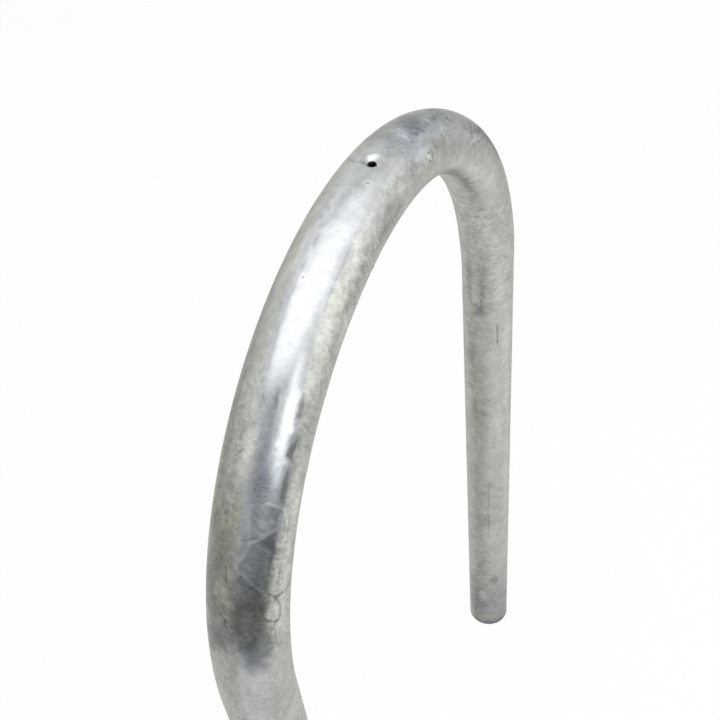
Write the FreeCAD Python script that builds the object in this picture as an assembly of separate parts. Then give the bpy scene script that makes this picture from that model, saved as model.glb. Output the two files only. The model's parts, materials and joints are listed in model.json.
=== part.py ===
# Hoop bike rack: one steel tube bent into an inverted U and hot-dip galvanised. Its legs are plain tube,
# cut square at the feet, that are set in the ground. Millimetres. X runs from foot to foot, Y is square to
# the hoop's plane and Z is up. The origin is midway between the feet, level with their cut ends.
import FreeCAD, Part
import math
import os

# Driving dimensions
OVERALL_WIDTH = 500.0        # across the outsides of the two legs
OVERALL_HEIGHT = 830.0       # from the cut feet to the top of the crown
TUBE_DIAMETER = 48.3         # outside of the straight legs
WALL = 3.2                   # wall of the tube before it is bent
OVALITY = 0.036              # share by which the bend narrows the tube in the hoop's plane and widens it across
OVAL_RUN_ANGLE = 10.0        # turn over which the round leg becomes the oval of the bend, in degrees
FOOT_CHAMFER = 0.6           # deburred outer rim of each cut foot
VENT_DIAMETER = 5.5          # hole in the crown that lets out air and molten zinc
VENT_ANGLE = 89.2            # turn of the bend, from the -X leg, at which the vent is drilled, in degrees
VENT_TILT = 10.0             # how far round the tube from its top the vent is drilled, towards -Y, in degrees
VENT_CHAMFER = 0.6           # depth to which the vent's mouth is countersunk

# Sizes and places worked out from them
TUBE_RADIUS = TUBE_DIAMETER / 2
BEND_RADIUS = OVERALL_WIDTH / 2 - TUBE_RADIUS
SPRING_HEIGHT = OVERALL_HEIGHT - BEND_RADIUS - TUBE_RADIUS * (1 - OVALITY)
HALF_TURN = 180.0
OVAL_RUN_SECTIONS = 5        # sections that shape each run from round to oval

ACROSS = FreeCAD.Vector(0, 1, 0)
UP = FreeCAD.Vector(0, 0, 1)
BEND_CENTRE = UP * SPRING_HEIGHT


def outward(angle):
    """Unit vector from the bend's centre: at 0 to the -X leg, at 90 to the crown, at 180 to the +X leg."""
    turn = math.radians(angle)
    return FreeCAD.Vector(-math.cos(turn), 0, math.sin(turn))


def oval_share(angle):
    """How much of the bend's oval the tube has there: none at the legs, all past each run, smooth between."""
    from_nearer_leg = min(angle, HALF_TURN - angle)
    share = min(1.0, max(0.0, from_nearer_leg / OVAL_RUN_ANGLE))
    return share * share * (3 - 2 * share)


def outside(angle):
    """The tube's outside there: its centre, half its size in the hoop's plane and half its size across it."""
    change = OVALITY * oval_share(angle)
    centre = BEND_CENTRE + outward(angle) * BEND_RADIUS
    return centre, TUBE_RADIUS * (1 - change), TUBE_RADIUS * (1 + change)


def bore(angle):
    """The same for the bore: bending draws the outer wall thinner and presses the inner wall thicker."""
    centre, in_plane, across = outside(angle)
    stretch = TUBE_RADIUS / BEND_RADIUS * oval_share(angle)
    outer_wall = WALL / (1 + stretch)
    inner_wall = WALL / (1 - stretch)
    centre = centre + outward(angle) * (inner_wall - outer_wall) / 2
    return centre, in_plane - (outer_wall + inner_wall) / 2, across - WALL


def section_wire(surface, angle):
    """Closed outline of that surface, in the plane that cuts the bend square at that angle."""
    centre, in_plane, across = surface(angle)
    if across > in_plane:
        outline = Part.Ellipse(centre + ACROSS * across, centre + outward(angle) * in_plane, centre)
    else:
        outline = Part.Circle(centre, outward(angle).cross(ACROSS), across)
        outline.XAxis = ACROSS
    return Part.Wire(outline.toShape())


def leg(surface, angle):
    """Round bar from the foot up to the spring of the bend, on the leg at that angle."""
    centre, radius, _ = surface(angle)
    return Part.makeCylinder(radius, SPRING_HEIGHT, FreeCAD.Vector(centre.x, 0, 0), UP)


def oval_run(surface, leg_angle, bend_angle):
    """Stretch of the bend in which the round of the leg becomes the full oval."""
    step = (bend_angle - leg_angle) / (OVAL_RUN_SECTIONS - 1)
    sections = [section_wire(surface, leg_angle + step * count) for count in range(OVAL_RUN_SECTIONS)]
    return Part.makeLoft(sections, True, False)


def oval_bend(surface):
    """Even middle of the bend: its oval, turned about the bend's centre."""
    oval = Part.Face(section_wire(surface, OVAL_RUN_ANGLE))
    return oval.revolve(BEND_CENTRE, ACROSS, HALF_TURN - 2 * OVAL_RUN_ANGLE)


def foot_to_foot(surface):
    """Solid of that surface, all along the hoop: two legs, two oval runs and the bend between them."""
    near_leg = leg(surface, 0)
    return near_leg.fuse([
        oval_run(surface, 0, OVAL_RUN_ANGLE),
        oval_bend(surface),
        oval_run(surface, HALF_TURN, HALF_TURN - OVAL_RUN_ANGLE),
        leg(surface, HALF_TURN),
    ])


def chamfer_feet(tube):
    """Break the outer edge of both cut feet, which is longer there than the bore's edge."""
    middle_of_wall = TUBE_DIAMETER - WALL
    rims = [
        edge for edge in tube.Edges
        if edge.BoundBox.ZMax < WALL and edge.Length > math.pi * middle_of_wall
    ]
    return tube.makeChamfer(FOOT_CHAMFER, rims)


def outside_reach(angle, tilt):
    """Distance from the tube's centre to its outside, that far round the tube from its outermost line."""
    _, in_plane, across = outside(angle)
    return 1 / math.hypot(math.cos(tilt) / in_plane, math.sin(tilt) / across)


def drill_vent(tube):
    """Drill through the outer wall of the crown and deburr the hole's mouth with a countersink."""
    tilt = math.radians(VENT_TILT)
    direction = outward(VENT_ANGLE) * math.cos(tilt) - ACROSS * math.sin(tilt)
    centre, _, _ = outside(VENT_ANGLE)
    radius = VENT_DIAMETER / 2
    drill = Part.makeCylinder(radius, TUBE_DIAMETER, centre, direction)
    sink_start = centre + direction * (outside_reach(VENT_ANGLE, tilt) - VENT_CHAMFER)
    countersink = Part.makeCone(radius, radius + WALL, WALL, sink_start, direction)
    return tube.cut(drill.fuse(countersink))


def hoop_tube():
    """The whole hoop: a bent tube with chamfered feet and a vent."""
    tube = foot_to_foot(outside).cut(foot_to_foot(bore))
    return drill_vent(chamfer_feet(tube))


def save(shape, node):
    os.makedirs("parts", exist_ok=True)
    shape.exportStep(f"parts/{node}.step")
    print(f"{node}: {len(shape.Solids)} solid, {len(shape.Faces)} faces, {shape.Volume:.0f} mm3")


save(hoop_tube(), "hoop_tube")
print(f"straight legs {SPRING_HEIGHT:.2f}, bend radius {BEND_RADIUS:.2f}")
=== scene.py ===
# Looks of the hoop bike rack, in a plain pale studio. Lengths are metres, unless a name ends in _MM or a
# comment says millimetres.
import json
import math
import bpy
import numpy as np
from mathutils import Matrix, Vector, noise


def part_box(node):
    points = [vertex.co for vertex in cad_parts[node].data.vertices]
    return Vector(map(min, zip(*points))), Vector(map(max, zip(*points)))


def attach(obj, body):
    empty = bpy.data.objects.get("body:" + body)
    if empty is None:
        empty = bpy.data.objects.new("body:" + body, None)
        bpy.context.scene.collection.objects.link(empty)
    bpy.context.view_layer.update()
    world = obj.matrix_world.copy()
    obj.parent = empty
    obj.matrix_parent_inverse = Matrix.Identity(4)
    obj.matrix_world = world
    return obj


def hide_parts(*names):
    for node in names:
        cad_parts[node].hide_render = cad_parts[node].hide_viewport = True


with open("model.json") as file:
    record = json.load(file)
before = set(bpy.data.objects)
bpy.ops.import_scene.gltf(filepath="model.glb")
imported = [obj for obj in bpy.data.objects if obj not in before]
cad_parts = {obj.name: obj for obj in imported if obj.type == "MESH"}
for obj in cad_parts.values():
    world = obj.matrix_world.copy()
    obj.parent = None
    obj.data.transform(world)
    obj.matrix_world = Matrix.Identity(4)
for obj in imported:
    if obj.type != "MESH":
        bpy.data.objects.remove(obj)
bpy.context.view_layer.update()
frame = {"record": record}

MM = 0.001
LOW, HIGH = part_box("hoop_tube")
MOUNTS = {mount["name"]: mount for mount in frame["record"]["mounts"]}

# Shape of the tube, from the frame
TUBE_RADIUS = MOUNTS["near_leg"]["dims"]["r_mm"] * MM
OVALITY = (HIGH.y - LOW.y) / 2 / TUBE_RADIUS - 1
BEND_RADIUS = (HIGH.x - LOW.x) / 2 - TUBE_RADIUS
SPRING_HEIGHT = HIGH.z - BEND_RADIUS - TUBE_RADIUS * (1 - OVALITY)
BEND_LENGTH = math.pi * BEND_RADIUS

# Sizes that the frame doesn't state
WALL = 3.2 * MM
OVAL_RUN = math.radians(10)
FOOT_ROUNDING = 0.6 * MM
VENT_RADIUS = 2.75 * MM
VENT_ALONG = math.radians(89.2) * BEND_RADIUS
VENT_AROUND = math.radians(-10)

# Bead of the tube's weld, which runs all along inside the bore
BEAD_AROUND = math.radians(100)
BEAD_HALF_WIDTH = 1.8 * MM
BEAD_HEIGHT = 0.5 * MM

# Mesh of the tube: points in each ring, and how far apart the rings are
COLUMNS = 192
LEG_STEP = 2.5 * MM
NEAR_STEP = 0.7 * MM
FAR_STEP = 1.5 * MM
NEAR_LENGTH = 0.42  # length of the bend, from its near spring, that has the near step
VENT_CELLS = 14  # cells of the skin that the vent's rings take the place of, each way
VENT_RINGS = 12  # rings from the skin to the vent's edge
VENT_CROWDING = 1.5  # how much closer those rings lie towards the edge
VENT_WALL_RINGS = (0.35, 0.6, 1.0)  # depths of the rings down its wall, as shares of the wall
FOOT_RING_TURNS = (30, 60, 90)  # degrees round the edge of a cut foot
PATH_STEPS = 6  # points on a run of zinc from each given place to the next

# Unevenness of the zinc: size and height of its features in millimetres, and octaves and channel of their
# noise. Swells are everywhere, and ripples are lower where the zinc set smooth. All of it is sunk a little,
# so that its ridges stay inside the solid.
SEED_OFFSET = Vector((3.1, 7.7, 1.3))  # from each channel's noise to the next one's
NOISE_OCTAVE = (1.0, 2.0)  # how much weaker, as a power, and how much finer each octave is
SWELLS = (26, 0.08, 1, 2)
RIPPLES = [(8, 0.04, 2, 3), (2.6, 0.01, 2, 4)]
SMOOTH_RIPPLES = 0.2  # share of the ripples' height that is left without grain
SMOOTH_GRAIN = 0.15  # share of the grain that is left where the zinc set brightest
STREAK_HEIGHT_MM = 0.03
STREAK_OCTAVES = 2
SINK_MM = 0.06

# How far marks wander from where they are given. Tight ones keep near to it, and loose ones don't.
WANDER_SIZE_MM = 9
WANDER_OCTAVES = 3
WANDER_CHANNELS = (0, 1)
TIGHT_WANDER_MM = 0.7
LOOSE_WANDER_MM = 4

# Zinc round the vent: a dimple a little to one side of it, and a rounded edge
DIMPLE_ASIDE_MM = (1.9, 1.0)
DIMPLE_RADIUS_MM = 9.5
DIMPLE_DEPTH_MM = 2.1
EDGE_DEPTH_MM = 0.45
EDGE_WIDTH = 0.25  # share of the vent's radius

# How marks fade: patches at this many times their half sizes, and the tone of a run at this share of its
# width. A mark with a plainer edge is full where a patch would have this share of its tone.
PATCH_REACH = 1.25
RUN_TONE_WIDTH = 0.75
MARK_FADE = 0.5

# Rim of a pit, in radii of the pit from its middle, and how high and how pale it is, as shares of the pit.
# Its paleness is a painted highlight on the raised rim.
PIT_RIM = 1.5
PIT_RIM_HEIGHT = 0.1
PIT_PALE_RIM = 1.6
PIT_PALE_HALF_WIDTH = 0.8
PIT_PALENESS = 0.15

# All that follows up to the stripe is on the tube's skin. A place there is how far it is along the tube, in
# millimetres from the near spring of the bend, and how far round it, in degrees from the line furthest out of
# the bend, turning towards +Y. A tone is darker below 0 and lighter above it.

# Runs and seams of zinc, and two painted dark lines along the highlight's edges: places along the line,
# its width and height in millimetres, and its tone
RUNS = [
    ([(65, -70), (69, -68), (74, -67.5), (76, -64), (80, -68)], 1.1, 0.05, -0.6),
    ([(83.5, -52), (82, -57), (80.6, -65), (80, -70.5), (81, -73.5), (84.5, -75.5), (88.5, -74.8),
      (92.8, -71.8), (96.2, -66), (98.8, -59), (99.6, -52)], 1.3, 0.12, -1.0),
    ([(99.6, -52), (101.8, -42), (105, -33.5), (108, -27.5), (110, -21.5), (111.5, -13)], 1.3, 0.14, 0.8),
    ([(112.5, -9), (117, -11), (120.5, -16.5), (125, -21), (129, -25)], 2.4, 0.07, 0.4),
    ([(128.5, -24), (131, -33), (133, -40), (135, -48), (137, -55.5)], 2.0, 0.1, 0.55),
    ([(131, -21), (138, -19.5), (146, -17)], 1.8, 0.05, 0.4),
    ([(122, -56), (124.5, -47), (127, -38), (128, -29)], 2.4, 0.05, 0.3),
    ([(130, -74), (138, -72), (144, -68), (148, -62)], 1.4, 0.07, 0.6),
    ([(147, -66), (148.6, -57), (149.6, -45), (149.8, -36)], 1.5, 0.06, 0.35),
    ([(149.8, -36), (149, -27), (148, -18)], 1.5, 0.05, 0.35),
    ([(128, -75), (133, -75.5), (139, -73)], 1.0, -0.04, -0.6),
    ([(97.2, -66), (96.8, -77), (97.4, -89), (100, -97), (104, -100)], 2.2, 0.05, -0.75),
    ([(96.5, -47), (100.5, -38), (104, -30)], 2.6, 0.0, -0.35),
    ([(105, -68), (110, -69), (115, -67.5)], 1.0, 0.04, -0.5),
    ([(119, -59), (120, -70.5)], 1.1, 0.04, -0.6),
    ([(105, 4), (109, 4.6), (113, 5.4)], 1.0, 0.05, -1.1),
    ([(79.5, 5), (82, 5), (85, 11)], 1.1, 0.05, -0.8),
    ([(92, 27), (87, 20), (84, 12)], 1.2, 0.04, -0.4),
    ([(129, -12), (131, -25), (133, -38)], 0.8, -0.03, -0.6),
    ([(73, -4), (76, 0), (79, 4)], 1.2, 0.04, -0.35),
    ([(173, 12.5), (174.8, 6.6)], 1.4, 0.04, -0.65),
    ([(197.5, -9.7), (203, -1)], 1.0, 0.03, -0.35),
    ([(190, -107), (190.4, -80), (194, -64.5)], 1.1, 0.06, -0.5),
    # This run and the one two below it are painted dark lines along the highlight's lower and upper edges;
    # this one has no ridge, the other a low one.
    ([(216, 2), (234, 4), (252, 5), (266, 5), (282, 4), (300, 3)], 2.2, 0.0, -0.3),
    ([(228, -13), (230, -14), (230.6, -17), (229.2, -19.5), (227.5, -18), (228, -13)], 0.7, 0.02, -0.3),
    ([(253, -44), (270, -43.5), (290, -42.5)], 1.5, 0.03, -0.3),
    ([(350.4, -4), (351.2, 2), (351.5, 8)], 2.8, -0.05, -0.7),
    ([(350, 14), (353, 25), (357, 38)], 2.8, 0.03, -0.45),
    ([(369, -12), (370, -18), (373, -22)], 1.4, 0.02, -0.5),
    ([(341, -40), (352, -38), (364, -38)], 2.2, 0.04, -0.15),
    ([(318, -64), (325, -62), (330, -55), (333, -42)], 2.0, 0.03, 0.15),
    ([(344, -63), (349, -68), (356, -72)], 1.8, 0.07, 0.4),
    ([(460, -90), (463, -84), (461, -72), (466, -60)], 1.8, 0.06, -0.4),
    ([(480, -81), (492, -74), (506, -62), (521, -50)], 1.6, 0.06, 0.6),
    ([(476, -66), (490, -60), (505, -50)], 1.6, 0.05, -0.5),
    ([(536, -76), (543, -69), (548, -61)], 1.3, 0.06, -0.9),
    ([(496, -64), (483, -77), (466, -96)], 1.6, 0.05, 0.4),
    ([(483, -79), (493, -95), (509, -114)], 1.6, 0.04, 0.3),
    ([(479, -20), (474, -43), (465, -71), (464, -88)], 1.2, 0.03, -0.45),
    ([(469, -22), (466, -45), (459, -68)], 1.2, 0.03, -0.35),
    ([(765, -139.5), (776, -139), (788, -139.5)], 1.8, 0.06, -0.9),
    ([(1003, -160.5), (1050, -160.5), (1097, -161)], 1.8, 0.03, -0.4),
]

# Pits drawn down by escaping gas, and specks: place, radius and depth in millimetres, and tone
PITS = [
    (335.4, -21.5, 1.1, 0.35, -1.8), (266, -0.6, 1.1, 0.2, -1.2), (279, -27.6, 1.2, 0.04, -0.5),
    (295, -46, 1.2, 0.12, -0.5), (245, -67, 1.1, 0.15, -1.0), (393.2, -77, 1.4, 0.25, -1.2),
    (394.8, -65, 1.5, 0.3, -1.4), (391, -72, 1.0, 0.2, -0.9),
]

# Drops of zinc that set where they hung: place, radius and height in millimetres
DROPS = [
    (300, -116, 1.6, 0.5), (191, -57, 5.0, 0.14), (171, -54.5, 4.0, 0.1), (386, -83, 5.0, 0.1),
]

# Patches of darker or lighter tone: place, half length and half width in millimetres, and tone. Many are
# zinc that bloomed darker or lighter; the ones that the headings below name are painted light and shade.
PATCHES = [
    # The near limb's foot end. The darkest, at 60 mm and -40 degrees, is a painted dark reflection.
    (60, -40, 16, 10, -1.3), (60, 35, 12, 7, -0.4), (64, 12, 8, 8, -0.3), (66, 15, 10, 10, -0.4),
    (73, -49, 10, 6, -0.7), (76, 34, 8, 6, 0.2), (77, -44, 8, 6, -0.5), (78, 16, 14, 8, -0.3),
    (80, 0, 16, 5, -0.4), (84, -20, 26, 5, -0.25), (85, -14, 22, 4, -0.35), (85, 34, 34, 9, -0.5),
    (87, -8, 26, 4, -0.4), (88, -64, 6, 4, 0.7), (88, -49, 16, 3, -0.4), (90, -56, 10, 3, -0.3),
    (98, -62, 6, 4, 0.2),
    # The near limb below its dark facets
    (102, 10, 12, 8, 0.25), (105, -80, 40, 6, 0.45), (106, -48, 12, 6, 0.25), (108, -56, 10, 3, 0.3),
    (108, -9, 12, 4, -0.2), (109, -60, 12, 3, 0.4), (110, 22, 60, 16, -0.22), (111, -31, 7, 5, 0.25),
    (113, -11, 8, 4, -0.3), (114, -8, 4, 2.4, 0.4), (115, -30, 12, 8, -0.2), (118, -53, 32, 3.4, -0.65),
    (128, -48, 20, 6, -0.35), (130, 8, 28, 10, -0.25), (138, -13, 11, 3, 0.2), (140, -36, 10, 9, 0.2),
    (145, -54, 6, 5, -0.35), (148, -50, 14, 5, -0.2), (149, -84, 10, 6, 0.35),
    # The near limb round its dark facets. The light ones over the drops at 171 and 191 mm are painted
    # highlight, and the narrow ones at -27 to -37 degrees from 196 to 214 mm shape the highlight with painted
    # light and shade.
    (158, -68, 9, 2.5, 0.45), (163, -74, 10, 5, 0.25), (171, -54, 4, 3, 0.5), (172, 2, 15, 4, 0.45),
    (175, -30, 14, 4, 0.5), (176, -4, 12, 2.5, 0.3), (177, -23, 15, 5, 0.5), (180, -60, 26, 4, -0.3),
    (180, 42, 70, 5, -0.25), (180, -27, 14, 3, 0.4), (181, -20, 8, 4, 0.3), (185, -70, 8, 5, -0.25),
    (191, -56, 5, 3.2, 0.5), (196, -27, 14, 2, 0.4), (196, -82, 10, 6, -0.25), (197, -11, 12, 4, -0.35),
    (198, -30, 12, 2.5, 0.35), (200, 0, 10, 3, -0.45), (200, -57, 8, 4, -0.3), (201, -34, 10, 2, 0.4),
    (202, -22, 13, 3, -0.6), (203, -18, 11, 5, -0.15), (212, -50, 8, 3, 0.25), (214, -37, 10, 2, -0.35),
    (215, -43, 20, 3, -0.15),
    # The near limb's brightest stretch. The patches from -20 to +18 degrees are painted highlight, which
    # makes the highlight lighter at its edges and dimmer in its core, and the light one at 295 mm is a
    # painted highlight round a pit.
    (240, -66, 55, 6, 0.6), (246, -64, 10, 5, -0.35), (250, -53, 60, 4, 0.35), (253, -41, 14, 5, 0.35),
    (262, 18, 22, 4, -0.15), (266, 8, 26, 3, 0.4), (277, 15, 24, 3.5, 0.45), (282, -69, 10, 5, -0.35),
    (290, -54, 12, 5, 0.3), (295, -46, 3, 3, 0.5), (296, -20, 14, 8, 0.15), (296, 9, 30, 3.6, 0.8),
    (300, -15, 12, 7, -0.2), (305, -17, 30, 8, -0.1), (310, 5, 12, 5, 0.4), (310, -41, 12, 6, 0.35),
    (318, 3, 14, 5, 0.3), (319, -84, 18, 8, -0.3), (328, -14, 10, 4, -0.25), (329, 9, 16, 5, 0.3),
    (330, -1, 18, 3.5, 0.4), (332, -62, 16, 9, -0.15), (340, -88, 14, 5, -0.25), (342, -18, 10, 6, -0.25),
    # The crown. The first is a painted glint beyond the vent, and the dark ones at 380 and 415 mm, about
    # +20 degrees, are painted shade along its rim.
    (356, -3, 5, 3, 0.7), (358, -56, 16, 7, -0.25), (372, -62, 14, 6, -0.2), (374, -40, 10, 8, -0.15),
    (380, 20, 26, 10, -0.25), (385, -20, 20, 28, -0.45), (388, -18, 6, 6, 0.4), (392, -75, 7, 5, 0.1),
    (398, -73, 8, 5, -0.35), (402, -59, 12, 7, -0.3), (403, -3, 12, 6, -0.5), (404, -19, 12, 7, -0.6),
    (407, -54, 7, 5, -0.35), (412, -16, 16, 9, -0.3), (413, 2, 14, 6, -0.55), (415, 18, 32, 10, -0.45),
    (418, -60, 18, 8, -0.3), (421, -3, 14, 5, -0.5), (427, -46, 12, 1.8, 0.5), (434, -24, 8, 3, -0.5),
    (450, 2, 26, 7, -0.3), (450, -118, 24, 4, 0.25), (450, -8, 22, 5, -0.3), (450, -22, 40, 10, -0.55),
    (468, -53, 8, 3, -0.5), (470, -130, 60, 8, 0.4),
    # The bend past the crown. The dark ones from -150 to -166 degrees, and those from -178 to -207
    # degrees, are painted shade on the inside of the bend.
    (480, -150, 30, 8, -0.35), (515, -48, 34, 5, -0.7), (515, -58, 44, 6, -0.65),
    (520, -62, 44, 12, -0.3), (520, -138, 42, 13, 0.45), (530, -158, 60, 3.5, -0.4),
    (535, -162, 44, 9, -0.15), (555, -66, 30, 5, -0.45), (560, -150, 30, 6, 0.15),
    (562, -122, 26, 9, 0.4), (575, -166, 14, 4, -0.3), (612, -186, 14, 20, -0.15),
    (625, -155, 30, 6, 0.2), (640, -120, 40, 9, 0.12), (648, -193, 16, 8, -0.35), (655, -150, 16, 8, 0.3),
    (690, -141, 50, 9, 0.2), (698, -178, 34, 5, -0.3), (700, -207, 30, 5, -0.3),
    # The far leg. The long dark ones round 180 degrees, from 155 to -210, are painted shade on its side that
    # faces the near leg, and the last two are painted shade that darkens its foot end by the floor.
    (728, -134, 44, 8, 0.35), (735, -174, 26, 4, -0.35), (745, -179, 9, 8, -0.55),
    (760, -205, 110, 6, -0.25), (762, -205, 14, 6, 0.3), (800, -112, 100, 8, 0.35),
    (800, 165, 140, 10, -0.3), (850, -142, 100, 9, 0.2), (875, -180, 60, 9, -0.25),
    (880, -108, 40, 5, 0.2), (900, -198, 40, 6, -0.25), (910, -128, 40, 7, 0.25),
    (912, -176, 14, 8, -0.2), (942, -137, 16, 8, 0.2), (1000, -106, 160, 6, 0.25),
    (1020, 172, 160, 13, -0.35), (1122, -184, 12, 7, 0.3), (1150, -172, 12, 8, -0.25),
    (1160, -184, 9, 5, -0.35), (1190, -144, 14, 6, -0.5), (1200, 176, 140, 12, -0.4),
    (1224, -179, 14, 8, 0.45), (1228, -173, 12, 8, 0.25), (1230, 158, 110, 9, -0.3),
    (1262, -128, 14, 12, 0.2), (1265, -212, 14, 6, -0.4), (1289, -140, 7, 60, -0.75),
    (1290, -140, 120, 60, -0.6),
]

# Marks with a plainer edge: place, half length and half width in millimetres, and tone
MARKS = [
    (81, 4, 1.5, 1.3, -0.35), (398, -30, 2.0, 1.3, -0.7), (403, -25, 2.2, 1.6, -0.8),
    (401, -17, 2.4, 1.8, -0.6), (409, -15, 4.0, 1.8, -0.6), (414, -11, 3.0, 1.4, -0.5),
    (395, -24, 1.4, 1.0, -0.5), (388, -34, 2.0, 0.8, -0.6), (388, -22, 1.8, 1.8, 0.5),
    (392, -17, 1.4, 1.8, 0.4), (397, -40, 3.0, 1.0, 0.4), (386, -14, 1.2, 2.2, 0.4),
    (394, -5, 1.5, 2.0, 0.4), (392, -1, 1.5, 3.0, 0.35), (422, -23, 2.4, 1.8, 0.5),
    (434, -50, 2.6, 1.6, 0.6), (448, -37, 2.8, 4.0, -0.5), (384, -77, 2.0, 1.2, -0.4),
    (383, -71, 2.0, 1.0, -0.35),
]

# Facets with straight edges: their corners, how soft their edges are in millimetres, their tone, and how
# olive they are, or how rosy where that is negative
FACETS = [
    ([(186, -62), (180, -51), (176, -51), (174.5, -60)], 0.5, -0.9, 0.3),
    ([(170, -58), (162, -52), (151, -54), (151, -62.5), (159, -61.5)], 0.8, -0.7, 0.8),
    ([(209, -53.5), (204, -50), (196, -51), (196, -57.5), (203, -57)], 0.7, -0.7, 0.5),
    ([(136, -58), (131, -39), (128, -32), (125, -54), (128, -59.5)], 0.6, -0.4, 0.0),
    ([(403, -58), (393, -68), (380, -66), (377, -58), (386, -50)], 1.2, 0.3, 0.0),
    ([(412, -46), (429, -42), (432, -66), (420, -84), (404, -82), (402, -62)], 3.0, 0.0, -0.7),
]

# Stretches where the zinc set smooth and even: place, half length and half width in millimetres, and how
# much of its grain is gone
CALM = [
    (275, 34, 95, 18, 0.8), (345, 15, 45, 14, 0.6), (430, -92, 75, 12, 0.5), (1000, -150, 500, 90, 0.7),
    (250, -75, 60, 10, 0.4), (110, 12, 50, 20, 0.4), (540, -125, 90, 55, 0.45), (520, -155, 70, 16, 0.6),
]

# Patches that the melt left stained, all but the last two, which tint the painted shade at the far foot
# bluer: place, half length and half width in millimetres, how olive the stain is, or how rosy where that
# is negative, and how blue
STAINS = [
    (80, -35, 22, 12, 0.8, 0.0), (85, -18, 40, 8, 0.5, 0.0), (88, -30, 14, 14, 0.8, 0.0),
    (99, 10, 15, 7, 1.2, 0.0), (100, -42, 44, 13, 0.5, 0.0), (108, -52, 26, 4, 0.5, 0.0),
    (110, 12, 50, 16, 0.5, 0.0), (128, 20, 18, 6, 0.8, 0.0), (135, 3, 20, 4, 1.0, 0.0),
    (140, -36, 22, 9, 0.0, 0.25), (142, -3, 10, 4, -0.4, 0.4), (150, 52, 60, 16, 0.9, 0.0),
    (158, -44, 12, 5, 0.0, 0.7), (158, -59, 12, 3, 0.4, 0.0), (175, -34, 24, 7, 0.0, 0.6),
    (192, -3, 24, 5, 0.0, 0.8), (204, 7, 24, 3, 0.0, 0.4), (205, -22, 14, 5, 0.0, 0.4),
    (221, -48, 16, 3, 0.0, 0.6), (264, -64, 14, 3, 0.4, 0.0), (290, -58, 60, 6, 0.0, 0.4),
    (330, -60, 20, 8, 0.0, 0.4), (358, -59, 26, 10, -1.1, 0.3), (374, -63, 14, 8, 0.0, 0.5),
    (386, -57, 12, 6, 0.0, 0.7), (397, -20, 26, 15, 0.0, 1.0), (424, -68, 24, 8, -0.8, 0.0),
    (428, -42, 26, 6, 0.0, 0.8), (514, -88, 24, 8, 0.4, 0.0), (579, -141, 30, 10, 0.0, 0.4),
    (745, -179, 10, 8, 0.0, 0.6), (800, -130, 300, 14, 0.0, 0.35), (800, -205, 260, 10, 0.35, 0.0),
    (1080, -150, 80, 12, 0.0, 0.4), (1240, -150, 50, 40, -0.3, 0.65), (1288, -140, 9, 60, -0.2, 0.8),
]

# Stretches speckled with fine dark dots: place, half length and half width in millimetres, and how dark
# the dots are
SPECKLES = [
    (157, -29, 11, 6, 0.85), (168, -26, 9, 5, 0.55), (402, -22, 10, 8, 0.7), (128, -22, 8, 6, 0.3),
    (180, -25, 12, 7, 0.4), (184, -60, 10, 5, 0.3),
]

# Stretches of streaks, in the order of their noise: place, half length and half width in millimetres,
# the streaks' direction from the tube's line in degrees, their length and width in millimetres, and how
# strong they are
STREAKS = [
    (172, -31, 12, 4, 90, 5, 1.3, 0.4), (112, -64, 34, 5, 75, 5, 1.3, 0.8),
    (130, 8, 32, 8, 40, 3.5, 2.2, 0.4), (90, 8, 22, 9, 60, 4, 2.2, 0.4),
    (110, -32, 45, 9, 75, 8, 1.6, 0.4), (140, -36, 11, 9, 60, 6, 1.2, 0.6),
    (387, -20, 12, 9, 118, 5, 1.3, 0.8), (406, -18, 14, 9, 68, 5, 1.4, 1.2),
    (388, -42, 10, 4, 68, 4, 1.2, 0.6), (440, -32, 34, 12, 25, 8, 2.6, 0.8),
    (500, -62, 55, 12, 35, 22, 1.8, 0.8), (395, -76, 10, 6, 80, 4, 1.4, 0.9),
    (465, -80, 30, 10, 60, 10, 2.0, 0.5), (340, -62, 30, 9, 35, 8, 3.0, 0.35),
    (270, -75, 80, 12, 80, 9, 4.0, 0.4), (690, -145, 70, 30, 88, 5, 1.8, 0.5),
    (640, -120, 90, 30, 60, 10, 3.0, 0.1), (130, -82, 90, 14, 80, 3, 1.4, 0.5),
    (250, -68, 100, 12, 60, 3.5, 1.8, 0.5), (170, 18, 50, 9, 70, 3, 1.8, 0.4),
    (85, -36, 40, 15, 60, 2.5, 1.5, 0.5), (618, -165, 34, 50, 88, 4, 1.6, 0.6),
]

# Stripe that set bright and smooth while the zinc round it set dull: how far along it is in millimetres,
# its middle round the tube and half its width in degrees, how dull the stripe itself is, and how soft its
# edges are and how far they wander in millimetres
BRIGHT_STRIPE = [
    (-180, -32, 0, 0.4, 2, 2), (-60, -33, 16, 0.3, 2, 2), (60, -34, 22.5, 0.25, 2.6, 1.5),
    (100, -31.5, 22.5, 0.25, 2.3, 1.5), (120, -34.5, 24.5, 0.25, 1.8, 1.5), (140, -36, 27, 0.2, 1.4, 1.5),
    (200, -34, 28, 0.15, 1.4, 1), (216, -20, 28, 0.0, 3, 0.5), (250, -15, 31, 0.0, 3, 0.4),
    (290, -13, 33, 0.0, 2.5, 0.4), (325, -14, 34, 0.08, 5, 1), (350, -14, 36, 0.14, 5, 5),
    (400, -30, 36, 0.25, 6, 8), (460, -40, 26, 0.4, 6, 8), (540, -46, 0, 0.6, 6, 8),
]


def smooth_step(value, start, end):
    """0 below the start, 1 above the end, smooth between."""
    share = np.clip((value - start) / (end - start), 0, 1)
    return share * share * (3 - 2 * share)


def hump(distance, radius):
    """1 in the middle, falling smoothly to 0 at the radius."""
    return smooth_step(radius - distance, 0, radius)


def share_of_oval(along):
    """How oval the tube is there: 0 on the legs, 1 past the first and last degrees of the bend."""
    angle = along / BEND_RADIUS
    return smooth_step(np.minimum(angle, math.pi - angle), 0, OVAL_RUN)


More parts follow.
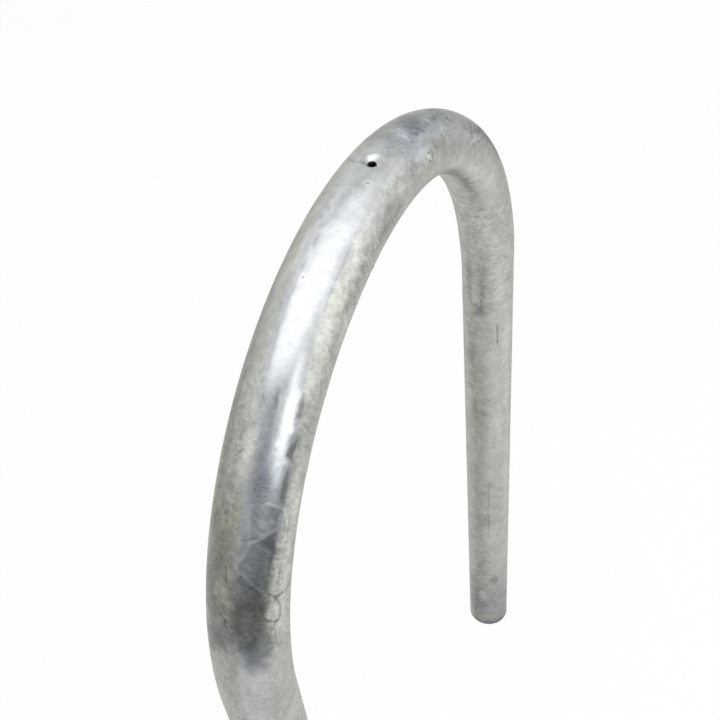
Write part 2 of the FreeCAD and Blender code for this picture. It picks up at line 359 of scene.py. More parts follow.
def tube_point(along, around, lift):
    """Points of the tube's outside raised by lift, for arrays of metres along it and radians round it."""
    angle = np.clip(along, 0, BEND_LENGTH) / BEND_RADIUS
    outward = np.stack([-np.cos(angle), np.zeros_like(angle), np.sin(angle)], -1)
    across = np.array([0.0, 1.0, 0.0])
    centre = outward * BEND_RADIUS
    down_leg = np.maximum(-along, 0) + np.maximum(along - BEND_LENGTH, 0)
    centre[..., 2] += SPRING_HEIGHT - down_leg
    share = share_of_oval(along)
    in_plane = TUBE_RADIUS * (1 - OVALITY * share)
    sideways = TUBE_RADIUS * (1 + OVALITY * share)
    cosine, sine = np.cos(around), np.sin(around)
    normal = (cosine / in_plane)[..., None] * outward + (sine / sideways)[..., None] * across
    normal /= np.linalg.norm(normal, axis=-1, keepdims=True)
    point = centre + (in_plane * cosine)[..., None] * outward + (sideways * sine)[..., None] * across
    return point + normal * lift[..., None]


def straight_place(along, around):
    """The same places if the tube were straight, in millimetres, for noise that follows the tube."""
    return np.stack([along, TUBE_RADIUS * np.cos(around), TUBE_RADIUS * np.sin(around)], -1) / MM


def sheet_place(along, around):
    """The same places on the tube's skin rolled out flat, in millimetres along and round it."""
    turned = (around + math.pi) % (2 * math.pi) - math.pi
    return along / MM, turned * TUBE_RADIUS / MM


def flat_mm(along_mm, around_degrees):
    """A place of the tables on the skin rolled out flat, in millimetres."""
    return np.array([along_mm, math.radians(around_degrees) * TUBE_RADIUS / MM])


def noise_at(places, size_mm, octaves, channel):
    """Seeded noise from -1 to 1, with features of about that size."""
    shift = SEED_OFFSET * (channel + 1)
    flat = (places / size_mm).reshape(-1, 3)
    if octaves == 1:
        values = [noise.noise(Vector(place) + shift) for place in flat]
    else:
        values = [noise.fractal(Vector(place) + shift, *NOISE_OCTAVE, octaves) for place in flat]
    return np.array(values).reshape(places.shape[:-1])


def unevenness(place, size_mm, height_mm, octaves, channel):
    """Height of swells or ripples, in millimetres."""
    return height_mm * noise_at(place, size_mm, octaves, channel)


def curved_path(points):
    """More points along a smooth curve through the given ones."""
    ends = np.array([2 * points[0] - points[1], *points, 2 * points[-1] - points[-2]])
    path = []
    for before, start, end, after in zip(ends, ends[1:], ends[2:], ends[3:]):
        for step in range(PATH_STEPS):
            t = step / PATH_STEPS
            path.append(
                start + 0.5 * t * (end - before)
                + t * t * (before - 2.5 * start + 2 * end - 0.5 * after)
                + t * t * t * (1.5 * (start - end) + 0.5 * (after - before))
            )
    path.append(points[-1])
    return np.array(path)


def distance_to_path(x, y, path):
    """Least distance from each point to a path of straight pieces."""
    nearest = np.full(x.shape, np.inf)
    for start, end in zip(path, path[1:]):
        run = end - start
        share = np.clip(((x - start[0]) * run[0] + (y - start[1]) * run[1]) / (run @ run), 0, 1)
        gap = np.hypot(x - start[0] - share * run[0], y - start[1] - share * run[1])
        nearest = np.minimum(nearest, gap)
    return nearest


def aside(x, y, along_mm, degrees):
    """How far points of the skin are from a place, in millimetres along it and the shorter way round."""
    centre = flat_mm(along_mm, degrees)
    half_girth = math.pi * TUBE_RADIUS / MM
    return x - centre[0], (y - centre[1] + half_girth) % (2 * half_girth) - half_girth


def patch(x, y, along_mm, degrees, half_length, half_width):
    """1 in the middle of a patch of the skin, falling smoothly to 0 a little outside its half sizes."""
    x, y = aside(x, y, along_mm, degrees)
    return hump(np.hypot(x / half_length, y / half_width), PATCH_REACH)


def inside_facet(x, y, corners):
    """How far inside a facet's straight edges each point lies, in millimetres, below 0 outside."""
    corners = np.array([flat_mm(*corner) for corner in corners])
    middle = corners.mean(axis=0)
    depth = np.full(x.shape, np.inf)
    for start, end in zip(corners, np.roll(corners, -1, axis=0)):
        inward = np.array([start[1] - end[1], end[0] - start[0]]) / np.hypot(*(end - start))
        inward *= np.sign((middle - start) @ inward)
        depth = np.minimum(depth, (x - start[0]) * inward[0] + (y - start[1]) * inward[1])
    return depth


def streak_pattern(x, y, direction, length, width, channel):
    """Seeded streaks from -1 to 1 that run at that angle to the tube's line."""
    turn = math.radians(direction)
    along_streak = (x * math.cos(turn) + y * math.sin(turn)) / length
    across_streak = (y * math.cos(turn) - x * math.sin(turn)) / width
    return noise_at(np.stack([along_streak, across_streak, 0 * x], -1), 1, STREAK_OCTAVES, channel)


def stripe_dullness(x, y, wander):
    """How dull the zinc is: less along the bright stripe, whose edges wander."""
    along, *columns = np.transpose(BRIGHT_STRIPE)
    middle, half, dullness, softness, reach = (np.interp(x, along, column) for column in columns)
    degrees_inward = half - np.abs(np.degrees(y * MM / TUBE_RADIUS) - middle)
    inward = degrees_inward * math.radians(TUBE_RADIUS / MM)
    inside = smooth_step((inward + reach * wander) / softness, -1, 1)
    return 1 - inside * (half > 0) * (1 - dullness)


def vent_relief(x, y):
    """Height in millimetres of the dimple and the rounded edge at the vent."""
    x, y = aside(x, y, VENT_ALONG / MM, math.degrees(VENT_AROUND))
    radius = VENT_RADIUS / MM
    edge = hump(np.hypot(x, y) - radius, EDGE_WIDTH * radius)
    dimple = hump(np.hypot(x - DIMPLE_ASIDE_MM[0], y - DIMPLE_ASIDE_MM[1]), DIMPLE_RADIUS_MM)
    return -DIMPLE_DEPTH_MM * dimple - EDGE_DEPTH_MM * edge


def pit_relief(near, radius):
    """Height of a pit with a raised rim, as a share of its depth, by the distance from its middle."""
    rim = hump(np.abs(near - PIT_RIM * radius), radius)
    return PIT_RIM_HEIGHT * rim - hump(near, radius)


def pit_tone(near, radius):
    """Tone of a pit, with a painted highlight of the opposite tone on its rim, as a share of its own."""
    rim = hump(np.abs(near - PIT_PALE_RIM * radius), PIT_PALE_HALF_WIDTH * radius)
    return hump(near, radius) - PIT_PALENESS * rim


def zinc_skin(along, around):
    """The zinc's height in metres, its tone and stains, and how dull, grainy and speckled it is."""
    place = straight_place(along, around)
    x, y = sheet_place(along, around)
    wander = [noise_at(place, WANDER_SIZE_MM, WANDER_OCTAVES, channel) for channel in WANDER_CHANNELS]
    tight = x + TIGHT_WANDER_MM * wander[0], y + TIGHT_WANDER_MM * wander[1]
    loose = x + LOOSE_WANDER_MM * wander[0], y + LOOSE_WANDER_MM * wander[1]
    dull = stripe_dullness(x, y, wander[0])
    grain = SMOOTH_GRAIN + (1 - SMOOTH_GRAIN) * dull
    for *where, share in CALM:
        grain *= 1 - share * patch(*loose, *where)
    ripples = sum(unevenness(place, *ripple) for ripple in RIPPLES)
    height = unevenness(place, *SWELLS) + ripples * (SMOOTH_RIPPLES + (1 - SMOOTH_RIPPLES) * grain)
    tone = np.zeros_like(x)
    olive = np.zeros_like(x)
    blue = np.zeros_like(x)
    speckle = np.zeros_like(x)
    for points, width, ridge, shade in RUNS:
        near = distance_to_path(*tight, curved_path([flat_mm(*point) for point in points]))
        height += ridge * hump(near, width)
        tone += shade * hump(near, RUN_TONE_WIDTH * width)
    for along_mm, degrees, radius, depth, shade in PITS:
        near = np.hypot(*aside(x, y, along_mm, degrees))
        height += depth * pit_relief(near, radius)
        tone += shade * pit_tone(near, radius)
    for along_mm, degrees, radius, rise in DROPS:
        height += rise * hump(np.hypot(*aside(*tight, along_mm, degrees)), radius)
    for *where, shade in PATCHES:
        tone += shade * patch(*loose, *where)
    for *where, shade in MARKS:
        tone += shade * smooth_step(patch(*tight, *where), 0, MARK_FADE)
    for corners, softness, shade, olive_share in FACETS:
        share = smooth_step(inside_facet(*tight, corners), -softness, softness)
        tone += shade * share
        olive += olive_share * share
    for *where, olive_share, blue_share in STAINS:
        share = patch(*loose, *where)
        olive += olive_share * share
        blue += blue_share * share
    for *where, darkness in SPECKLES:
        speckle += darkness * patch(*loose, *where)
    for channel, (*where, direction, length, width, strength) in enumerate(STREAKS):
        share = patch(*loose, *where)
        here = share > 0
        near_x, near_y = aside(x[here], y[here], where[0], where[1])
        streaks = strength * share[here] * streak_pattern(near_x, near_y, direction, length, width, channel)
        tone[here] += streaks
        height[here] += STREAK_HEIGHT_MM * streaks
    height += vent_relief(x, y) - SINK_MM
    return height * MM, tone, olive, blue, dull, grain, speckle


def bore_lift(along, around):
    """Lift of the bore. Bending has drawn its outer wall thinner and pressed its inner wall thicker."""
    stretch = TUBE_RADIUS / BEND_RADIUS * share_of_oval(along) * np.cos(around)
    bead = hump(np.abs(around - BEAD_AROUND) * TUBE_RADIUS, BEAD_HALF_WIDTH)
    return BEAD_HEIGHT * bead - WALL / (1 + stretch)


def quads_between(lower, upper):
    """Quads from closed rings of numbers to the next ones."""
    return np.stack([lower, np.roll(lower, -1, -1), np.roll(upper, -1, -1), upper], -1)


class Skin:
    """Vertices, quads and values per vertex that the hoop's mesh is gathered from."""

    LABELS = ("tone", "olive", "blue", "dull", "grain", "speckle", "inside")

    def __init__(self):
        self.points = []
        self.values = []
        self.quads = []
        self.count = 0

    def add(self, along, around, lift, tone=0, olive=0, blue=0, dull=1, grain=1, speckle=0, inside=0):
        """Add an array of points and return their numbers in the same layout."""
        points = tube_point(along, around, lift)
        numbers = self.count + np.arange(along.size).reshape(along.shape)
        place = np.moveaxis(straight_place(along, around) * MM, -1, 0)
        values = np.broadcast_arrays(*place, tone, olive, blue, dull, grain, speckle, inside)
        self.points.append(points.reshape(-1, 3))
        self.values.append(np.stack(values, -1).reshape(-1, len(values)))
        self.count += numbers.size
        return numbers

    def add_outside(self, along, around):
        return self.add(along, around, *zinc_skin(along, around))

    def grid(self, numbers, hole, flip):
        """Quads of a sheet whose columns close into rings, all but the hole's block of cells."""
        quads = quads_between(numbers[:-1], numbers[1:])
        row, column, rows, columns = hole
        keep = np.ones(quads.shape[:2], bool)
        keep[row:row + rows, column:column + columns] = False
        self.add_quads(quads[keep], flip)

    def strip(self, ring, next_ring, flip):
        self.add_quads(quads_between(ring, next_ring), flip)

    def add_quads(self, quads, flip):
        self.quads.append(quads[:, ::-1] if flip else quads)

    def mesh(self, name):
        """Blender mesh of the quads, without the vertices that no quad uses."""
        points, values, quads = (np.concatenate(part) for part in (self.points, self.values, self.quads))
        used = np.unique(quads)
        renumber = np.zeros(len(points), int)
        renumber[used] = np.arange(len(used))
        mesh = bpy.data.meshes.new(name)
        mesh.from_pydata(points[used].tolist(), [], renumber[quads].tolist())
        mesh.update()
        mesh.shade_smooth()
        place = mesh.attributes.new("place", "FLOAT_VECTOR", "POINT")
        place.data.foreach_set("vector", values[used, :3].ravel())
        for column, label in enumerate(self.LABELS, 3):
            attribute = mesh.attributes.new(label, "FLOAT", "POINT")
            attribute.data.foreach_set("value", values[used, column])
        return mesh


def ring_places():
    """Where the mesh's rings lie along the tube, closest together nearest to the camera."""
    leg = SPRING_HEIGHT - FOOT_ROUNDING
    stretches = [
        (-leg, 0, LEG_STEP), (0, NEAR_LENGTH, NEAR_STEP),
        (NEAR_LENGTH, BEND_LENGTH, FAR_STEP), (BEND_LENGTH, BEND_LENGTH + leg, LEG_STEP),
    ]
    places = [-leg]
    for start, end, step in stretches:
        count = round((end - start) / step)
        places.extend(start + (end - start) * (i + 1) / count for i in range(count))
    return np.array(places)


def block_rim(numbers, hole):
    """Numbers round a block of cells, from its first corner, first along its first row."""
    row, column, rows, columns = hole
    last_row, last_column = row + rows, column + columns
    return np.concatenate([
        numbers[row, column:last_column], numbers[row:last_row, last_column],
        numbers[last_row, last_column:column:-1], numbers[last_row:row:-1, column],
    ])


def add_vent(skin, rim, along, around, inner_rim):
    """Rings from the skin over the vent's edge and down its wall to the bore."""
    aside_x = along - VENT_ALONG
    aside_y = (around - VENT_AROUND) * TUBE_RADIUS
    heading = np.arctan2(aside_y, aside_x)
    edge_x, edge_y = VENT_RADIUS * np.cos(heading), VENT_RADIUS * np.sin(heading)
    ring = rim
    for count in range(1, VENT_RINGS + 1):
        share = 1 - (1 - count / VENT_RINGS) ** VENT_CROWDING
        along = VENT_ALONG + aside_x + (edge_x - aside_x) * share
        around = VENT_AROUND + (aside_y + (edge_y - aside_y) * share) / TUBE_RADIUS
        next_ring = skin.add_outside(along, around)
        skin.strip(ring, next_ring, flip=True)
        ring = next_ring
    bore = bore_lift(along, around)
    # The vent's wall takes more of the bore's painted shade the deeper it lies
    for depth in VENT_WALL_RINGS:
        next_ring = skin.add(along, around, bore * depth, inside=depth)
        skin.strip(ring, next_ring, flip=True)
        ring = next_ring
    skin.strip(ring, inner_rim, flip=True)


def add_foot(skin, outer_ring, inner_ring, along, turns, downward, flip):
    """Rings from the outside round the cut edge and across the cut to the bore."""
    wall = -bore_lift(np.full(COLUMNS, along), turns)
    angles = [math.radians(turn) for turn in FOOT_RING_TURNS]
    corners = [(FOOT_ROUNDING * (1 - math.cos(angle)), FOOT_ROUNDING * math.sin(angle)) for angle in angles]
    profile = [(-inset, drop) for inset, drop in corners]
    profile += [(inset - wall, drop) for inset, drop in reversed(corners)]
    ring = outer_ring
    for lift, drop in profile:
        place = np.full(COLUMNS, along + downward * drop)
        next_ring = skin.add(place, turns, np.broadcast_to(lift, turns.shape))
        skin.strip(ring, next_ring, flip)
        ring = next_ring
    skin.strip(ring, inner_ring, flip)


def hoop_mesh():
    """Mesh of the tube: its skin and its bore, joined through the vent and across both feet."""
    places = ring_places()
    turns = -math.pi + 2 * math.pi * np.arange(COLUMNS) / COLUMNS
    skin = Skin()
    along, around = np.meshgrid(places, turns, indexing="ij")
    outer = skin.add_outside(along, around)
    row = int(np.searchsorted(places, VENT_ALONG)) - VENT_CELLS // 2
    column = int(np.searchsorted(turns, VENT_AROUND)) - VENT_CELLS // 2
    hole = (row, column, VENT_CELLS, VENT_CELLS)
    skin.grid(outer, hole, flip=True)
    rim_along, rim_around = block_rim(along, hole), block_rim(around, hole)

    # The bore has half as many rings. Its hole has half as many rows, and half as many columns again, so that
    # both rims have as many points.
    inner_places = np.unique(np.append(places[::2], places[-1]))
    along, around = np.meshgrid(inner_places, turns, indexing="ij")
    # The bore is wholly inside: rough, and dark with painted shade
    inner = skin.add(along, around, bore_lift(along, around), inside=1.0)
    row = int(np.searchsorted(inner_places, VENT_ALONG)) - VENT_CELLS // 4
    inner_hole = (row, column - VENT_CELLS // 4, VENT_CELLS // 2, VENT_CELLS + VENT_CELLS // 2)
    skin.grid(inner, inner_hole, flip=False)

    add_vent(skin, block_rim(outer, hole), rim_along, rim_around, block_rim(inner, inner_hole))
    add_foot(skin, outer[0], inner[0], places[0], turns, -1, flip=False)
    add_foot(skin, outer[-1], inner[-1], places[-1], turns, 1, flip=True)
    return skin.mesh("hoop")


class Nodes:
    """Short way to write a node tree."""

    # Numbers of the Mix node's colour sockets
    MIX_FIRST, MIX_SECOND, MIX_RESULT = 6, 7, 2

    def __init__(self, owner):
        owner.use_nodes = True
        self.tree = owner.node_tree

    def add(self, kind, values=None, **settings):
        """Add a node. Values are numbers, colours or outputs, for inputs by name or number."""
        node = self.tree.nodes.new(kind)
        for key, value in settings.items():
            setattr(node, key, value)
        for key, value in (values or {}).items():
            if isinstance(value, bpy.types.NodeSocket):
                self.tree.links.new(value, node.inputs[key])
            else:
                node.inputs[key].default_value = value
        return node

    def show(self, shader, output="Material Output"):
        """Make a shader the one that the material or the world shows."""
        self.tree.links.new(shader.outputs[0], self.tree.nodes[output].inputs["Surface"])

    def math(self, operation, first, second):
        return self.add("ShaderNodeMath", {0: first, 1: second}, operation=operation).outputs[0]

    def times(self, first, second):
        return self.math("MULTIPLY", first, second)

    def plus(self, first, second):
        return self.math("ADD", first, second)

    def centred(self, pattern, weight):
        """A pattern from 0 to 1, turned into one about 0 with that weight."""
        return self.times(self.math("SUBTRACT", pattern, 0.5), weight)

    def ramp(self, value, low, high, to_low=0.0, to_high=1.0):
        """Smooth step of value from low to high, turned into to_low to to_high."""
        values = {"Value": value, "From Min": low, "From Max": high, "To Min": to_low, "To Max": to_high}
        return self.add("ShaderNodeMapRange", values, interpolation_type="SMOOTHSTEP").outputs[0]

    def attribute(self, name, output="Fac"):
        return self.add("ShaderNodeAttribute", attribute_name=name).outputs[output]

    def noise(self, vector, size_mm, detail, roughness, distortion):
        """Noise from 0 to 1 with features of about that size."""
        values = {"Vector": vector, "Scale": 1 / (size_mm * MM), "Detail": detail}
        values.update({"Roughness": roughness, "Distortion": distortion})
        return self.add("ShaderNodeTexNoise", values).outputs["Fac"]

    def dots(self, vector, size_mm, core, edge):
        """Dots about that far apart: 1 within the core of each, falling to 0 at its edge."""
        cells = self.add("ShaderNodeTexVoronoi", {"Vector": vector, "Scale": 1 / (size_mm * MM)})
        return self.ramp(cells.outputs["Distance"], core, edge, 1.0, 0.0)

    def mix(self, share, first, second, blend="MIX"):
        values = {"Factor": share, self.MIX_FIRST: first, self.MIX_SECOND: second}
        node = self.add("ShaderNodeMix", values, data_type="RGBA", blend_type=blend)
        return node.outputs[self.MIX_RESULT]

    def tinted(self, share, colour, tint):
        """The colour, multiplied by the tint to that share."""
        return self.mix(share, colour, self.mix(1.0, colour, tint, "MULTIPLY"))

    def seen_plainly(self):
        """1 for rays from the camera and for those that gloss or glass sends on, otherwise 0."""
        path = self.add("ShaderNodeLightPath")
        seen = self.math("MAXIMUM", path.outputs["Is Camera Ray"], path.outputs["Is Glossy Ray"])
        return self.math("MAXIMUM", seen, path.outputs["Is Transmission Ray"])


# Patterns in the zinc: size in millimetres, detail, roughness and distortion of noise
CLOUD = (24, 3.0, 0.6, 1.0)
BLOOM = (7, 4.0, 0.6, 1.4)
STRANDS = (2.6, 3.0, 0.6, 1.2)
STRAND_STRETCH = (1.7, 0.6, 0.6)
GRAIN = (1.3, 2.0, 0.6, 0.0)
WARM_CLOUD = (16, 3.0, 0.6, 1.5)
GLOSS_CLOUD = (14, 4.0, 0.6, 0.8)
# Shares of the grain between which the bloom grows, and its shares there
BLOOM_BY_GRAIN = (0.1, 0.6, 0.4, 1.0)
# How far apart speckles are in millimetres, and their core and edge
DOTS = (1.1, 0.15, 0.55)
# How strongly they change the zinc's tone, warmth and roughness, and how high they stand
CLOUD_TONE, BLOOM_TONE, STRAND_TONE, GRAIN_TONE = 0.9, 1.2, 0.7, 0.8
CLOUD_WARMTH = 1.6
CLOUD_ROUGHNESS, GRAIN_ROUGHNESS = 0.2, 0.15
STRAND_HEIGHT, GRAIN_HEIGHT = 0.8, 0.5  # shares of the bloom's height
BUMP_HEIGHT = 0.09 * MM
BUMP_STRENGTH = 0.9
TONE_REACH = 1.3  # tone, either way, at which the zinc is darkest and palest
WARM_REACH = 1.2  # warmth, either way, at which a stain is strongest
# Darkest and palest colour of the zinc where it set bright and where it set dull, and the tints of its stains
BRIGHT_ZINC = ((0.20, 0.213, 0.228, 1), (0.69, 0.71, 0.728, 1))
DULL_ZINC = ((0.19, 0.194, 0.175, 1), (0.722, 0.735, 0.69, 1))
OLIVE_TINT = (1.0, 0.99, 0.86, 1)
ROSY_TINT = (1.02, 0.975, 0.97, 1)
BLUE_TINT = (0.93, 0.965, 1.05, 1)
GLOSS_TINT = (0.85, 0.86, 0.86, 1)
# The bore's colour is painted shade, darker than the zinc outside, and the vent's wall takes more of it the
# deeper it lies
BORE_SHADE_COLOUR = (0.12, 0.12, 0.115, 1)
BORE_SHADE_SHARE = 0.6  # how far the bore takes on that painted shade
BORE_ROUGHNESS = 0.55
# Where it set bright and where it set dull
ZINC_ROUGHNESS = (0.15, 0.40)
ZINC_METALLIC = (1.0, 0.85)


def zinc_colour(nodes, place, tone, dull, inside):
    """Zinc colour: grey by its tone, tinted in clouds and stains, and dark with painted shade in the bore."""
    level = nodes.ramp(tone, -TONE_REACH, TONE_REACH)
    colour = nodes.mix(dull, nodes.mix(level, *BRIGHT_ZINC), nodes.mix(level, *DULL_ZINC))
    cloud = nodes.centred(nodes.noise(place, *WARM_CLOUD), CLOUD_WARMTH)
    warm = nodes.plus(nodes.times(cloud, dull), nodes.attribute("olive"))
    colour = nodes.tinted(nodes.ramp(warm, 0.0, WARM_REACH), colour, OLIVE_TINT)
    colour = nodes.tinted(nodes.ramp(nodes.times(warm, -1.0), 0.0, WARM_REACH), colour, ROSY_TINT)
    colour = nodes.tinted(nodes.ramp(nodes.attribute("blue"), 0.0, 1.0), colour, BLUE_TINT)
    return nodes.mix(nodes.times(inside, BORE_SHADE_SHARE), colour, BORE_SHADE_COLOUR)


def zinc_roughness(nodes, place, dull, inside, grain, grain_share, bloom_share):
    """Roughness of the zinc: low where it set bright, uneven by cloud and grain, and high in the bore."""
    roughness = nodes.ramp(dull, 0.0, 1.0, *ZINC_ROUGHNESS)
    cloud = nodes.centred(nodes.noise(place, *GLOSS_CLOUD), CLOUD_ROUGHNESS)
    roughness = nodes.plus(roughness, nodes.times(cloud, bloom_share))
    fine = nodes.centred(grain, GRAIN_ROUGHNESS)
    roughness = nodes.plus(roughness, nodes.times(fine, grain_share))
    return nodes.math("MAXIMUM", roughness, nodes.times(inside, BORE_ROUGHNESS))


def zinc_material():
    """Hot-dip galvanised steel: metal, with a small matt share where its zinc set dull."""
    material = bpy.data.materials.new("galvanised_zinc")
    nodes = Nodes(material)
    place = nodes.attribute("place", "Vector")
    dull = nodes.attribute("dull")
    inside = nodes.attribute("inside")
    grain_share = nodes.attribute("grain")
    bloom_share = nodes.ramp(grain_share, *BLOOM_BY_GRAIN)
    cloud = nodes.noise(place, *CLOUD)
    bloom = nodes.noise(place, *BLOOM)
    stretched = nodes.add("ShaderNodeMapping", {"Vector": place, "Scale": STRAND_STRETCH}).outputs[0]
    strands = nodes.noise(stretched, *STRANDS)
    grain = nodes.noise(place, *GRAIN)

    speckles = nodes.times(nodes.dots(place, *DOTS), nodes.attribute("speckle"))
    tone = nodes.math("SUBTRACT", nodes.attribute("tone"), speckles)
    tone = nodes.plus(tone, nodes.centred(cloud, CLOUD_TONE))
    tone = nodes.plus(tone, nodes.times(nodes.centred(bloom, BLOOM_TONE), bloom_share))
    tone = nodes.plus(tone, nodes.times(nodes.centred(strands, STRAND_TONE), grain_share))
    tone = nodes.plus(tone, nodes.times(nodes.centred(grain, GRAIN_TONE), grain_share))

    relief = nodes.plus(nodes.times(grain, GRAIN_HEIGHT), bloom)
    relief = nodes.plus(relief, nodes.times(strands, STRAND_HEIGHT))
    strength = nodes.times(grain_share, BUMP_STRENGTH)
    bump = nodes.add("ShaderNodeBump", {"Height": relief, "Strength": strength, "Distance": BUMP_HEIGHT})

    shader = nodes.tree.nodes["Principled BSDF"]
    shader.inputs["Specular Tint"].default_value = GLOSS_TINT
    shader.inputs["Specular IOR Level"].default_value = 0.0
    linked = {
        "Base Color": zinc_colour(nodes, place, tone, dull, inside),
        "Metallic": nodes.ramp(dull, 0.0, 1.0, *ZINC_METALLIC),
        "Roughness": zinc_roughness(nodes, place, dull, inside, grain, grain_share, bloom_share),
        "Normal": bump.outputs[0],
    }
    for name, output in linked.items():
        nodes.tree.links.new(output, shader.inputs[name])
    return material


def add_object(name, data):
    thing = bpy.data.objects.new(name, data)
    bpy.context.scene.collection.objects.link(thing)
    return thing


def add_hoop():
    hoop = add_object("hoop", hoop_mesh())
    hoop.data.materials.append(zinc_material())
    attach(hoop, "root")
    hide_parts("hoop_tube")


# The camera stands close to the crown, on the near leg's side, and looks down.
CAMERA_PLACE = Vector((-0.4525, -0.2271, 1.1350))
CAMERA_AIM = Vector((-0.04076, 0.00038, 0.69852))
CAMERA_ROLL = math.radians(7.239)
FOCAL_LENGTH_MM = 47.833
SENSOR_MM = 36


def add_camera():
    data = bpy.data.cameras.new("camera")
    data.sensor_width = SENSOR_MM
    data.lens = FOCAL_LENGTH_MM
    camera = add_object("camera", data)
    back = (CAMERA_PLACE - CAMERA_AIM).normalized()
    right = Vector((0, 0, 1)).cross(back).normalized()
    turn = Matrix((right, back.cross(right), back)).transposed().to_4x4()
    camera.matrix_world = Matrix.Translation(CAMERA_PLACE) @ turn @ Matrix.Rotation(-CAMERA_ROLL, 4, "Z")
    bpy.context.scene.camera = camera


# Soft lamps: name, place, what they face, width, height and radiance
LAMPS = [
    ("overhead", (0, 0, 2.0), (0, 0, 0.8), 1.25, 1.25, 2.3),
    ("side", (0.2, -2.0, 1.6), (0, 0, 0.7), 2.0, 1.4, 1.2),
]


def add_lamp(name, place, aim, width, height, radiance):
    """Rectangular lamp that neither the camera nor reflections see."""
    data = bpy.data.lights.new(name, "AREA")
    data.shape = "RECTANGLE"
    data.size = width
    data.size_y = height
    data.energy = radiance * width * height * math.pi
    lamp = add_object(name, data)
    lamp.location = place
    lamp.rotation_euler = (Vector(aim) - Vector(place)).to_track_quat("-Z", "Y").to_euler()
    lamp.visible_camera = False
    lamp.visible_glossy = False


WHITE = (1, 1, 1, 1)
FLOOR_HALF_SIZE = 20.0
FLOOR_COLOUR = (0.93, 0.93, 0.92, 1)
FLOOR_WHITE_SHARE = 0.93  # the rest of it takes the shadow
WORLD_COLOUR = (0.7, 0.7, 0.7, 1)


def add_floor():
    """Pale floor, seen as the white background with the hoop's shadow left faintly on it."""
    corners = [(x * FLOOR_HALF_SIZE, y * FLOOR_HALF_SIZE, 0) for x, y in ((-1, -1), (1, -1), (1, 1), (-1, 1))]
    mesh = bpy.data.meshes.new("floor")
    mesh.from_pydata(corners, [], [(0, 1, 2, 3)])
    material = bpy.data.materials.new("pale_floor")
    nodes = Nodes(material)
    white = nodes.add("ShaderNodeEmission", {"Color": WHITE, "Strength": 1.0})
    matt = nodes.add("ShaderNodeBsdfDiffuse", {"Color": FLOOR_COLOUR})
    share = nodes.times(nodes.seen_plainly(), FLOOR_WHITE_SHARE)
    nodes.show(nodes.add("ShaderNodeMixShader", {0: share, 1: matt.outputs[0], 2: white.outputs[0]}))
    mesh.materials.append(material)
    add_object("floor", mesh)


def set_world():
    """White for the camera and for reflections, with softer light on everything else."""
    world = bpy.data.worlds.new("studio")
    bpy.context.scene.world = world
    nodes = Nodes(world)
    soft = nodes.add("ShaderNodeBackground", {"Color": WORLD_COLOUR})
    white = nodes.add("ShaderNodeBackground", {"Color": WHITE})
    seen = nodes.seen_plainly()
    light = nodes.add("ShaderNodeMixShader", {0: seen, 1: soft.outputs[0], 2: white.outputs[0]})
    nodes.show(light, "World Output")


# Light tent round the hoop: a round wall that a dome closes. Headings turn from +Y towards +X, and elevations
# are seen from its axis at eye level. Both are degrees.
TENT_RADIUS = 1.25
TENT_SHOULDER = 1.25
TENT_TOP = 2.25
TENT_EYE_LEVEL = 0.75
TENT_COLUMNS, TENT_WALL_ROWS, TENT_DOME_ROWS = 120, 26, 30
TENT_FLOOR_LIGHT = 0.62
# Elevations from and to which it grows lighter, and by how much
TENT_RISES = [(-30, 35, 0.50), (36, 68, 1.15)]
# Its lighter side: heading, elevation, how far up and down that reaches, and how much lighter it is
TENT_SIDE = (130, 15, 60, 0.30)
# Soft patches of the tent: heading, elevation, half width, half height and change of light
TENT_PATCHES = [
    (-120, -15, 58, 45, -0.45),
    (-108, 32, 36, 34, -0.55),
    (-147, 26, 22, 30, 2.00),
    (170, 28, 35, 30, 0.25),
    (-60, 30, 30, 25, 0.25),
    (92, 15, 38, 45, -0.38),
    (40, 57, 115, 26, -0.75),
    (-62, -28, 42, 35, -0.16),
]
# Tint of its light where dim and where bright, and the light from and to which the tint changes
TENT_TINTS = ((0.92, 0.98, 1.08, 1), (1.0, 1.0, 0.985, 1))
TENT_TINT_LIGHTS = (0.2, 1.0)


def tent_light(heading, elevation):
    """Light of the tent there: dim near the floor, pale at eye level and bright overhead."""
    level = TENT_FLOOR_LIGHT
    for start, end, rise in TENT_RISES:
        level += rise * smooth_step(elevation, start, end)
    side_heading, side_elevation, side_height, side_light = TENT_SIDE
    side = np.cos(np.radians(heading - side_heading))
    level += side_light * side * hump(np.abs(elevation - side_elevation), side_height)
    for middle, middle_elevation, half_width, half_height, change in TENT_PATCHES:
        turn = (heading - middle + 180) % 360 - 180
        level += change * hump(np.hypot(turn / half_width, (elevation - middle_elevation) / half_height), 1)
    return level


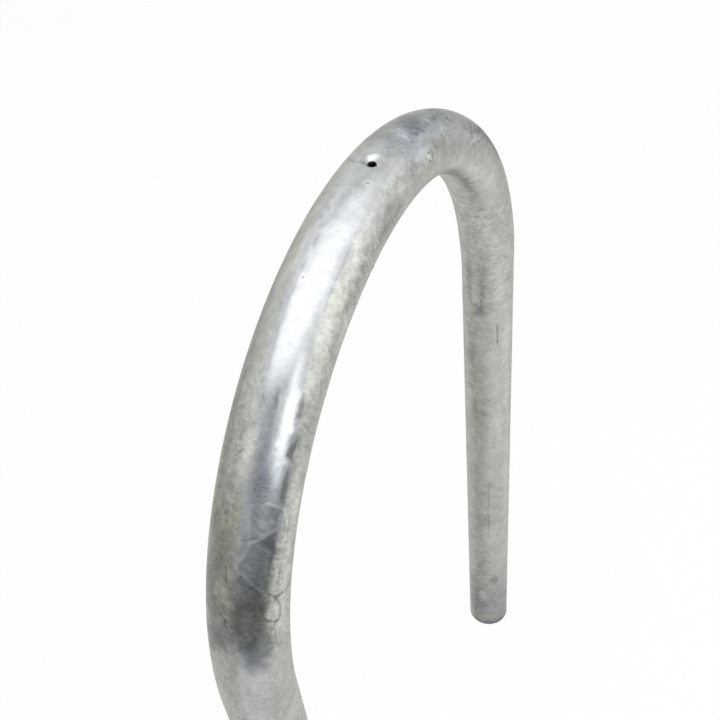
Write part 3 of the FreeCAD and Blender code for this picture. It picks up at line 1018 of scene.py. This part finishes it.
def tent_mesh():
    """Wall and dome of the tent, with its light at each vertex."""
    wall = [(TENT_RADIUS, TENT_SHOULDER * i / TENT_WALL_ROWS) for i in range(1, TENT_WALL_ROWS)]
    turns = [math.radians(90) * i / TENT_DOME_ROWS for i in range(TENT_DOME_ROWS)]
    rise = TENT_TOP - TENT_SHOULDER
    dome = [(TENT_RADIUS * math.cos(turn), TENT_SHOULDER + rise * math.sin(turn)) for turn in turns]
    reach, height = np.transpose(wall + dome)[..., None]
    heading = np.radians(360 * np.arange(TENT_COLUMNS) / TENT_COLUMNS)
    rings = np.broadcast_arrays(reach * np.sin(heading), reach * np.cos(heading), height)
    points = np.stack(rings, -1).reshape(-1, 3)
    numbers = np.arange(len(points)).reshape(len(height), TENT_COLUMNS)
    quads = quads_between(numbers[:-1], numbers[1:])
    apex = len(points)
    last_ring = numbers[-1]
    cap = [(int(first), int(second), apex) for first, second in zip(last_ring, np.roll(last_ring, -1))]
    points = np.append(points, [(0, 0, TENT_TOP)], axis=0)
    mesh = bpy.data.meshes.new("light_tent")
    mesh.from_pydata(points.tolist(), [], quads.reshape(-1, 4).tolist() + cap)
    x, y, z = points.T
    shade = mesh.attributes.new("shade", "FLOAT", "POINT")
    elevations = np.degrees(np.arctan2(z - TENT_EYE_LEVEL, np.hypot(x, y)))
    shade.data.foreach_set("value", tent_light(np.degrees(np.arctan2(x, y)), elevations))
    return mesh


def add_tent():
    """Light tent round the hoop, that only the tube's reflections see."""
    material = bpy.data.materials.new("light_tent")
    nodes = Nodes(material)
    strength = nodes.attribute("shade")
    tint = nodes.mix(nodes.ramp(strength, *TENT_TINT_LIGHTS), *TENT_TINTS)
    nodes.show(nodes.add("ShaderNodeEmission", {"Color": tint, "Strength": strength}))
    tent = add_object("light_tent", tent_mesh())
    tent.data.materials.append(material)
    for ray in ("camera", "diffuse", "shadow", "transmission"):
        setattr(tent, f"visible_{ray}", False)


add_hoop()
add_camera()
for lamp in LAMPS:
    add_lamp(*lamp)
add_floor()
add_tent()
set_world()
bpy.context.scene.view_settings.view_transform = "Standard"
